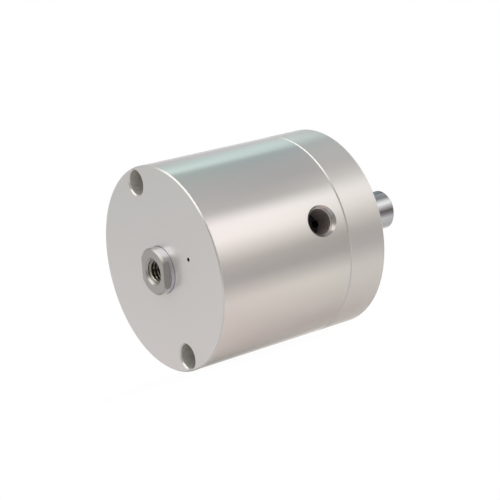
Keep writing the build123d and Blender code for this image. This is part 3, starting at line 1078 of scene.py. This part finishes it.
@dataclass
class FrontRod:
    """Front rod with its tapped end and wrench flats, and the stud that carries the piston.

    Attributes:
        tip_x: End face.
        radius: Radius of the rod.
        chamfer: Chamfer of the tip.
        shoulder_x: Face that clamps the piston.
        stud: Stud's radius, end and chamfer.
        groove: Rubber ring groove's front end, rear end and radius.
        thread: Tapped hole's major radius, ridge height, pitch and countersink.
        thread_end: Bottom of the thread.
        drill: Tap drill's radius, end of its wall and its point.
        flat: Distance from the axis to each flat, and the length of the flats.
        flat_turn: Turn of the flats about the rod, in degrees from +Y towards +Z.
    """

    tip_x: float = 3.4
    radius: float = 8.0
    chamfer: float = 0.6
    shoulder_x: float = -35.5
    stud: tuple[float, float, float] = (5.0, -56.5, 0.8)
    groove: tuple[float, float, float] = (-41.575, -43.425, 3.76)
    thread: tuple[float, float, float, float] = (4.0, 0.68, 1.25, 0.7)
    thread_end: float = -9.6
    drill: tuple[float, float, float] = (3.4, -13.6, -15.643)
    flat: tuple[float, float] = (6.5, 2.1)
    flat_turn: float = -22.9

    def blank(self) -> Lathe:
        """Profile of the rod, from the bottom of the drilled hole round the outside to its end."""
        major, depth, pitch, flare = self.thread
        stud_r, stud_end, stud_edge = self.stud
        groove_front, groove_rear, groove_r = self.groove
        drill_r, drill_end, drill_point = self.drill
        tip, low, high = self.tip_x, self.thread_end, self.tip_x - flare
        profile = (
            (drill_point, 0), (drill_end, drill_r), (low, drill_r), (low, major), (high, major),
            (tip, major + flare), (tip, self.radius - self.chamfer),
            (tip - self.chamfer, self.radius), (self.shoulder_x, self.radius),
            (self.shoulder_x, stud_r), (groove_front, stud_r), (groove_front, groove_r),
            (groove_rear, groove_r), (groove_rear, stud_r),
            (stud_end + stud_edge, stud_r), (stud_end, stud_r - stud_edge), (stud_end, 0),
        )
        thread = Thread(low, high, tip, major, depth, pitch, flare)
        return Lathe(profile, around=160, thread=thread)

    def build(self) -> None:
        """Make the rod, mill its flats and fix it to the moving rod."""
        lathe = self.blank()
        piece = lathe.build("front_rod_bar")
        reach, length = self.flat
        low, high = self.tip_x - length, self.tip_x + LAYOUT.overrun
        turn, wide = math.radians(self.flat_turn), self.radius + LAYOUT.overrun
        near = box("flat tool", (low, reach, -wide), (high, wide, wide), turn)
        far = box("far flat tool", (low, -wide, -wide), (high, -reach, wide), turn)
        work_over(piece, [near, far])
        set_true_normals(piece, [lathe])
        put_in_place(piece, ROD_STEEL, "rod", "front_rod")
        x, y, z = face_middles(piece)
        radius = np.hypot(y, z)
        ground = (radius > self.radius - OFF_WALL) & (x > self.shoulder_x + OFF_WALL)
        # The cutter's side leaves the flats' shoulders as bright as the ground wall.
        repaint(piece, GROUND_STEEL, ground | (np.abs(x - low) < OFF_WALL))
        major, _, _, flare = self.thread
        cone = np.abs(radius - (x - self.tip_x + major + flare)) < OFF_CONE
        # The tapped hole's wall and drilling get a darker colour: painted shade inside the hole.
        repaint(piece, ROD_THREAD_PAINTED_SHADE, (radius < major + OFF_WALL) & (x > self.drill[2]) & ~cone)


@dataclass
class RearRod:
    """Plain chromed rod that the front rod's stud is screwed into.

    Attributes:
        front_x: Face against the piston.
        rear_x: Free end.
        radius: Radius of the rod.
        chamfer: Chamfer of the free end.
        hole: Radius and bottom of the stud's hole.
    """

    front_x: float = -44.5
    rear_x: float = -98.0
    radius: float = 7.0
    chamfer: float = 1.3
    hole: tuple[float, float] = (5.02, -58.0)

    def build(self) -> None:
        """Make the rod and fix it to the moving rod."""
        hole_r, floor = self.hole
        profile = (
            (floor, 0), (floor, hole_r), (self.front_x, hole_r), (self.front_x, self.radius),
            (self.rear_x + self.chamfer, self.radius), (self.rear_x, self.radius - self.chamfer),
            (self.rear_x, 0),
        )
        piece = cut_body("rear_rod_bar", Lathe(profile, around=192))
        put_in_place(piece, HARD_CHROME, "rod", "rear_rod")


@dataclass
class ReturnSpring:
    """Compression spring with closed, ground ends, between the front wall and the piston.

    Attributes:
        rear_x: End on the piston's washer.
        front_x: End in the front wall.
        coil_r: Radius to the middle of the wire.
        wire_r: Radius of the wire.
        turns: Number of turns.
        shut: Turns that lie closed at each end.
        stroke: How far the joint closes the spring. Not used.
    """

    rear_x: float = -39.9
    front_x: float = -4.5
    coil_r: float = 13.5
    wire_r: float = 0.9
    turns: float = 5.5
    shut: float = 0.85
    stroke: float = 25.0

    def grid(self, per_turn: int = 48, around: int = 16) -> tuple[np.ndarray, np.ndarray]:
        """Carry the wire's circle along the coil.

        The coil's middle climbs one wire per turn in the closed turns and eases between them.
        Points past the two ground ends are pulled back onto their planes. A row of points in
        the wire's middle closes each end.

        Args:
            per_turn: Rows in one turn.
            around: Points round the wire.

        Returns:
            Points in millimetres, and the corner numbers of the faces.
        """
        turn = np.linspace(0, self.turns, int(self.turns * per_turn) + 1)[:, None]
        wire = 2 * self.wire_r
        share = np.clip((turn - self.shut) / (self.turns - 2 * self.shut), 0, 1)
        closed = np.minimum(turn, self.shut) + np.maximum(turn - self.turns + self.shut, 0)
        rise = self.front_x - self.rear_x - self.wire_r - 2 * self.shut * wire
        climb = rise * (share - np.sin(2 * np.pi * share) / (4 * np.pi))
        middle = self.rear_x + self.wire_r / 2 + closed * wire + climb
        round_wire = full_turn(around)
        radius = self.coil_r + self.wire_r * np.cos(round_wire)
        along = np.clip(middle + self.wire_r * np.sin(round_wire), self.rear_x, self.front_x)
        points = turned_points(along, radius, 2 * np.pi * turn, Axis.X_FROM_Z)
        first, last = (np.full((1, around, 3), row.mean(0)) for row in (points[0], points[-1]))
        points = np.concatenate([first, points, last])
        return points.reshape(-1, 3), grid_faces(len(points), around)

    def build(self) -> None:
        """Make the spring, fix it to the housing and give it a mesh of its own."""
        piece = make_solid("return_coil_spring", *self.grid())
        set_true_normals(piece)
        put_in_place(piece, SPRING_WIRE, "housing", "return_spring")
        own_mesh(piece)


@dataclass
class HiddenPieces:
    """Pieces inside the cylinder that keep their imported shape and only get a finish."""

    finishes: tuple[tuple[Finish, tuple[str, ...]], ...] = (
        (NITRILE, ("cover_o_ring", "rear_rod_seal", "piston_u_cup", "piston_o_ring")),
        (SINTERED_BRONZE, ("front_rod_bush", "rear_rod_bush")),
        (WOOL_FELT, ("front_felt_wiper",)),
        (URETHANE, ("front_bumper", "rear_bumper")),
        (WASHER_STEEL, ("seal_spacer_washer", "spring_seat_washer")),
        (PISTON_ALUMINIUM, ("piston",)),
        (ACETAL, ("piston_guide_band",)),
    )

    def build(self) -> None:
        """Give each piece its finish."""
        for finish, names in self.finishes:
            for name in names:
                finish.dress(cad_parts[name])
                log.info("%s: finished as %s", name, finish.name)


@dataclass
class Studio:
    """Camera, floor and light of the photograph.

    The camera stands at an azimuth and a height round the cylinder, before the cylinder is
    turned about its rod. The world is a white background, hung with paler and darker panels
    that run along the rod and that metal shows. Each row of the plan is an angle from straight
    up, towards the camera, in degrees, and the panels' colours as the rear rod, the cover and
    the barrel's front end see them.

    Attributes:
        azimuth: Camera's direction round the vertical, in degrees.
        elevation: Camera's height, in degrees.
        distance: From the origin to the camera's plane.
        aim: How far the camera is moved to its right and up.
        lens: Focal length.
        sensor: Width of the camera's sensor.
        sight: Nearest and farthest distance that the camera sees.
        floor_z: Height of the floor.
        floor_half: Half its width.
        paper: Colour of the floor.
        shadow: Share of the floor's own shade that the camera sees beside the cylinder.
        shadow_reach: Distances between which that share fades out.
        level: Brightness of a white panel.
        fill: Brightness of the even light on surfaces that aren't metal.
        stations: World direction's x at which each column of the plan counts.
        panels: The plan.
        front: Angle and colour of the panels in front of the cylinder, pale overhead.
        front_reach: World direction's x between which the front takes over.
    """

    azimuth: float = 143.047
    elevation: float = 21.533
    distance: float = 486.78
    aim: tuple[float, float] = (29.253, 6.4995)
    lens: float = 106.092
    sensor: float = 36.0
    sight: tuple[float, float] = (10.0, 50000.0)
    floor_z: float = -35.6
    floor_half: float = 3000.0
    paper: str = "#E8E8E8"
    shadow: float = 0.03
    shadow_reach: tuple[float, float] = (35.0, 85.0)
    level: float = 2.20
    fill: float = 0.95
    stations: tuple[float, float, float] = (-0.645, -0.595, -0.5)
    panels: tuple[tuple[int, str, str, str], ...] = (
        (-180, "#949494", "#9C9090", "#B4A8A4"),
        (-148, "#A8A8A4", "#A09E9A", "#70706C"),
        (-138, "#BCB8B4", "#BCB4B2", "#707470"),
        (-122, "#BCB8B8", "#BCB4B4", "#C8C8C8"),
        (-106, "#48444C", "#B8BCBC", "#A8A8A8"),
        (-84, "#485458", "#8C8C90", "#8C848C"),
        (-64, "#604C48", "#A4C0C0", "#789090"),
        (-52, "#080000", "#90ACB0", "#C4DCDC"),
        (-45, "#909090", "#385C6C", "#607C74"),
        (-4, "#7C7878", "#585C68", "#88888C"),
        (19, "#D4D4D4", "#48504C", "#A0989C"),
        (33, "#C8C8C4", "#FCF8FC", "#E8E0E8"),
        (51, "#848080", "#FCF8F8", "#F4E8E8"),
        (78, "#38342C", "#88807C", "#948C8C"),
        (96, "#706C70", "#706468", "#747078"),
        (120, "#949494", "#D4D4CC", "#BCA8A8"),
    )
    front: tuple[tuple[int, str], ...] = (
        (-180, "#A2A2A8"), (-126, "#C0B8BC"), (-106, "#7E888A"), (-88, "#9C9C9C"),
        (-62, "#949494"), (-50, "#FFFFFF"), (2, "#FFFFFF"), (14, "#A4A4A0"),
        (20, "#7C7C78"), (72, "#6C6C68"), (110, "#A2A2A6"),
    )
    front_reach: tuple[float, float] = (0.0, 0.3)

    def to_part(self, way: np.ndarray) -> np.ndarray:
        """Turn a direction of the photograph's room into the part's own frame."""
        c, s = math.cos(PHOTO_TURN), math.sin(PHOTO_TURN)
        x, y, z = way
        return np.array([x, y * c + z * s, z * c - y * s])

    def place_camera(self) -> None:
        """Put the camera where the photograph was taken."""
        a, e = math.radians(self.azimuth), math.radians(self.elevation)
        back = np.array([math.sin(a) * math.cos(e), -math.cos(a) * math.cos(e), math.sin(e)])
        right = np.cross([0.0, 0.0, 1.0], back)
        right /= np.linalg.norm(right)
        up = np.cross(back, right)
        place = back * self.distance + right * self.aim[0] + up * self.aim[1]
        matrix = np.eye(4)
        matrix[:3, :3] = np.stack([self.to_part(v) for v in (right, up, back)], -1)
        matrix[:3, 3] = self.to_part(place) * MM
        data = bpy.data.cameras.new("photograph camera")
        data.lens, data.sensor_width = self.lens, self.sensor
        data.clip_start, data.clip_end = (reach * MM for reach in self.sight)
        camera = add_object("photograph camera", data)
        camera.matrix_world = Matrix(matrix.tolist())
        bpy.context.scene.camera = camera

    def lay_floor(self) -> None:
        """Lay the pale floor, seen as white paper that keeps a faint shadow of the cylinder."""
        corners = np.array([[-1, -1], [1, -1], [1, 1], [-1, 1]]) * self.floor_half
        points = np.concatenate([corners, np.full((4, 1), self.floor_z)], 1) * MM
        mesh = bpy.data.meshes.new("floor")
        mesh.from_pydata(points.tolist(), [], [[0, 1, 2, 3]])
        floor = add_object("floor", mesh)
        material = bpy.data.materials.new("white paper")
        tree = empty_tree(material)
        place = node(tree, "TexCoord")["Object"]
        away = node(tree, "VectorMath", {0: place}, operation="LENGTH")["Value"]
        near, far = (reach * MM for reach in self.shadow_reach)
        fade = {0: away, "From Min": near, "From Max": far, "To Min": 1 - self.shadow}
        white_share = node(tree, "MapRange", fade, interpolation_type="SMOOTHSTEP")[0]
        paper = node(tree, "BsdfDiffuse", {"Color": linear(self.paper)})[0]
        white = node(tree, "Emission", {"Color": WHITE, "Strength": 1.0})[0]
        share = node(tree, "Math", {0: self.seen(tree), 1: white_share}, operation="MULTIPLY")[0]
        mixed = node(tree, "MixShader", {0: share, 1: paper, 2: white})[0]
        node(tree, "OutputMaterial", {"Surface": mixed})
        mesh.materials.append(material)
        # The plan's lower panels stand for the floor in metal, with the cylinder's shadow there.
        floor.visible_glossy = False

    def seen(self, tree: NodeTree) -> NodeSocket:
        """Tell the rays that show the background from those that only light the cylinder.

        Args:
            tree: Node tree that asks.

        Returns:
            Socket that is 1 for camera, glossy and transmission rays, else 0.
        """
        ray = node(tree, "LightPath")
        found = ray["Is Camera Ray"]
        for kind in ("Is Glossy Ray", "Is Transmission Ray"):
            found = node(tree, "Math", {0: found, 1: ray[kind]}, operation="MAXIMUM")[0]
        return found

    def ramp(
        self, tree: NodeTree, turn: NodeSocket, plan: tuple, column: int = 1
    ) -> NodeSocket:
        """Paint one column of a plan round the rod axis.

        Args:
            tree: The world's node tree.
            turn: Angle from straight up as a share of a full turn, from 0 to 1.
            plan: Rows of an angle in degrees and the panels' colours.
            column: Which of the plan's colours.

        Returns:
            Socket with the panel's colour.
        """
        colour = node(tree, "ValToRGB", {0: turn})[0]
        stops = [((row[0] + 180) / 360, row[column]) for row in plan]
        stops.append((1.0, plan[0][column]))
        elements = colour.node.color_ramp.elements
        while len(elements) < len(stops):
            elements.new(1.0)
        for element, (place, _) in zip(elements, stops):
            element.position = place
        for element, (_, code) in zip(elements, stops):
            element.color = linear(code)
        return colour

    def blend(
        self,
        tree: NodeTree,
        along: NodeSocket,
        reach: tuple[float, float],
        colours: tuple,
        kind: str = "LINEAR",
    ) -> NodeSocket:
        """Change from one colour to another between two values of the direction's x.

        Args:
            tree: The world's node tree.
            along: Socket with the direction's x.
            reach: Where the change starts and ends.
            colours: The two colours or colour sockets.
            kind: How the share rises between them.

        Returns:
            Socket with the mixed colour.
        """
        ends = {0: along, "From Min": reach[0], "From Max": reach[1]}
        share = node(tree, "MapRange", ends, interpolation_type=kind)[0]
        mix = {"Factor": share, "A": colours[0], "B": colours[1]}
        return node(tree, "Mix", mix, data_type="RGBA")["Result"]

    def light(self) -> None:
        """Hang the panels and set the even light.

        Camera and transmission rays see the plain white background. Glossy rays see it with
        its panels, and diffuse rays meet an even light of about the same brightness.
        """
        world = bpy.data.worlds.new("light tent")
        bpy.context.scene.world = world
        tree = empty_tree(world)
        way = node(tree, "TexCoord")["Generated"]
        near, up = (
            node(tree, "VectorMath", {0: way, 1: self.to_part(v)}, operation="DOT_PRODUCT")["Value"]
            for v in ((0.0, 1.0, 0.0), (0.0, 0.0, 1.0))
        )
        angle = node(tree, "Math", {0: near, 1: up}, operation="ARCTAN2")[0]
        share = {0: angle, 1: 1 / (2 * math.pi), 2: 0.5}
        turn = node(tree, "Math", share, operation="MULTIPLY_ADD")[0]
        along = node(tree, "SeparateXYZ", {0: way})[0]
        rod, cover, barrel = (self.ramp(tree, turn, self.panels, i) for i in (1, 2, 3))
        at_rod, at_cover, at_barrel = self.stations
        walls = self.blend(tree, along, (at_rod, at_cover), (rod, cover))
        walls = self.blend(tree, along, (at_cover, at_barrel), (walls, barrel))
        front = self.ramp(tree, turn, self.front)
        panels = self.blend(tree, along, self.front_reach, (walls, front), "SMOOTHSTEP")
        glossy = node(tree, "LightPath")["Is Glossy Ray"]
        tones = {"Factor": glossy, "A": WHITE, "B": panels}
        colour = node(tree, "Mix", tones, data_type="RGBA")["Result"]
        strength = node(tree, "MapRange", {0: glossy, "To Min": 1.0, "To Max": self.level})[0]
        shown = node(tree, "Background", {"Color": colour, "Strength": strength})[0]
        even = node(tree, "Background", {"Color": WHITE, "Strength": self.fill})[0]
        mixed = node(tree, "MixShader", {0: self.seen(tree), 1: even, 2: shown})[0]
        node(tree, "OutputWorld", {"Surface": mixed})

    def build(self) -> None:
        """Set up the camera, the floor and the light."""
        self.place_camera()
        self.lay_floor()
        self.light()
        bpy.context.scene.view_settings.view_transform = "Standard"


def main() -> None:
    """Build the studio and every piece, in order."""
    logging.basicConfig(level=logging.INFO, format="%(name)s: %(message)s")
    Studio().build()
    for group in (
        Barrel(),
        RearCover(),
        CoverScrews(),
        SnapRing(),
        RodWiper(),
        FrontRod(),
        RearRod(),
        ReturnSpring(),
        HiddenPieces(),
    ):
        group.build()


if __name__ == "__main__":
    main()
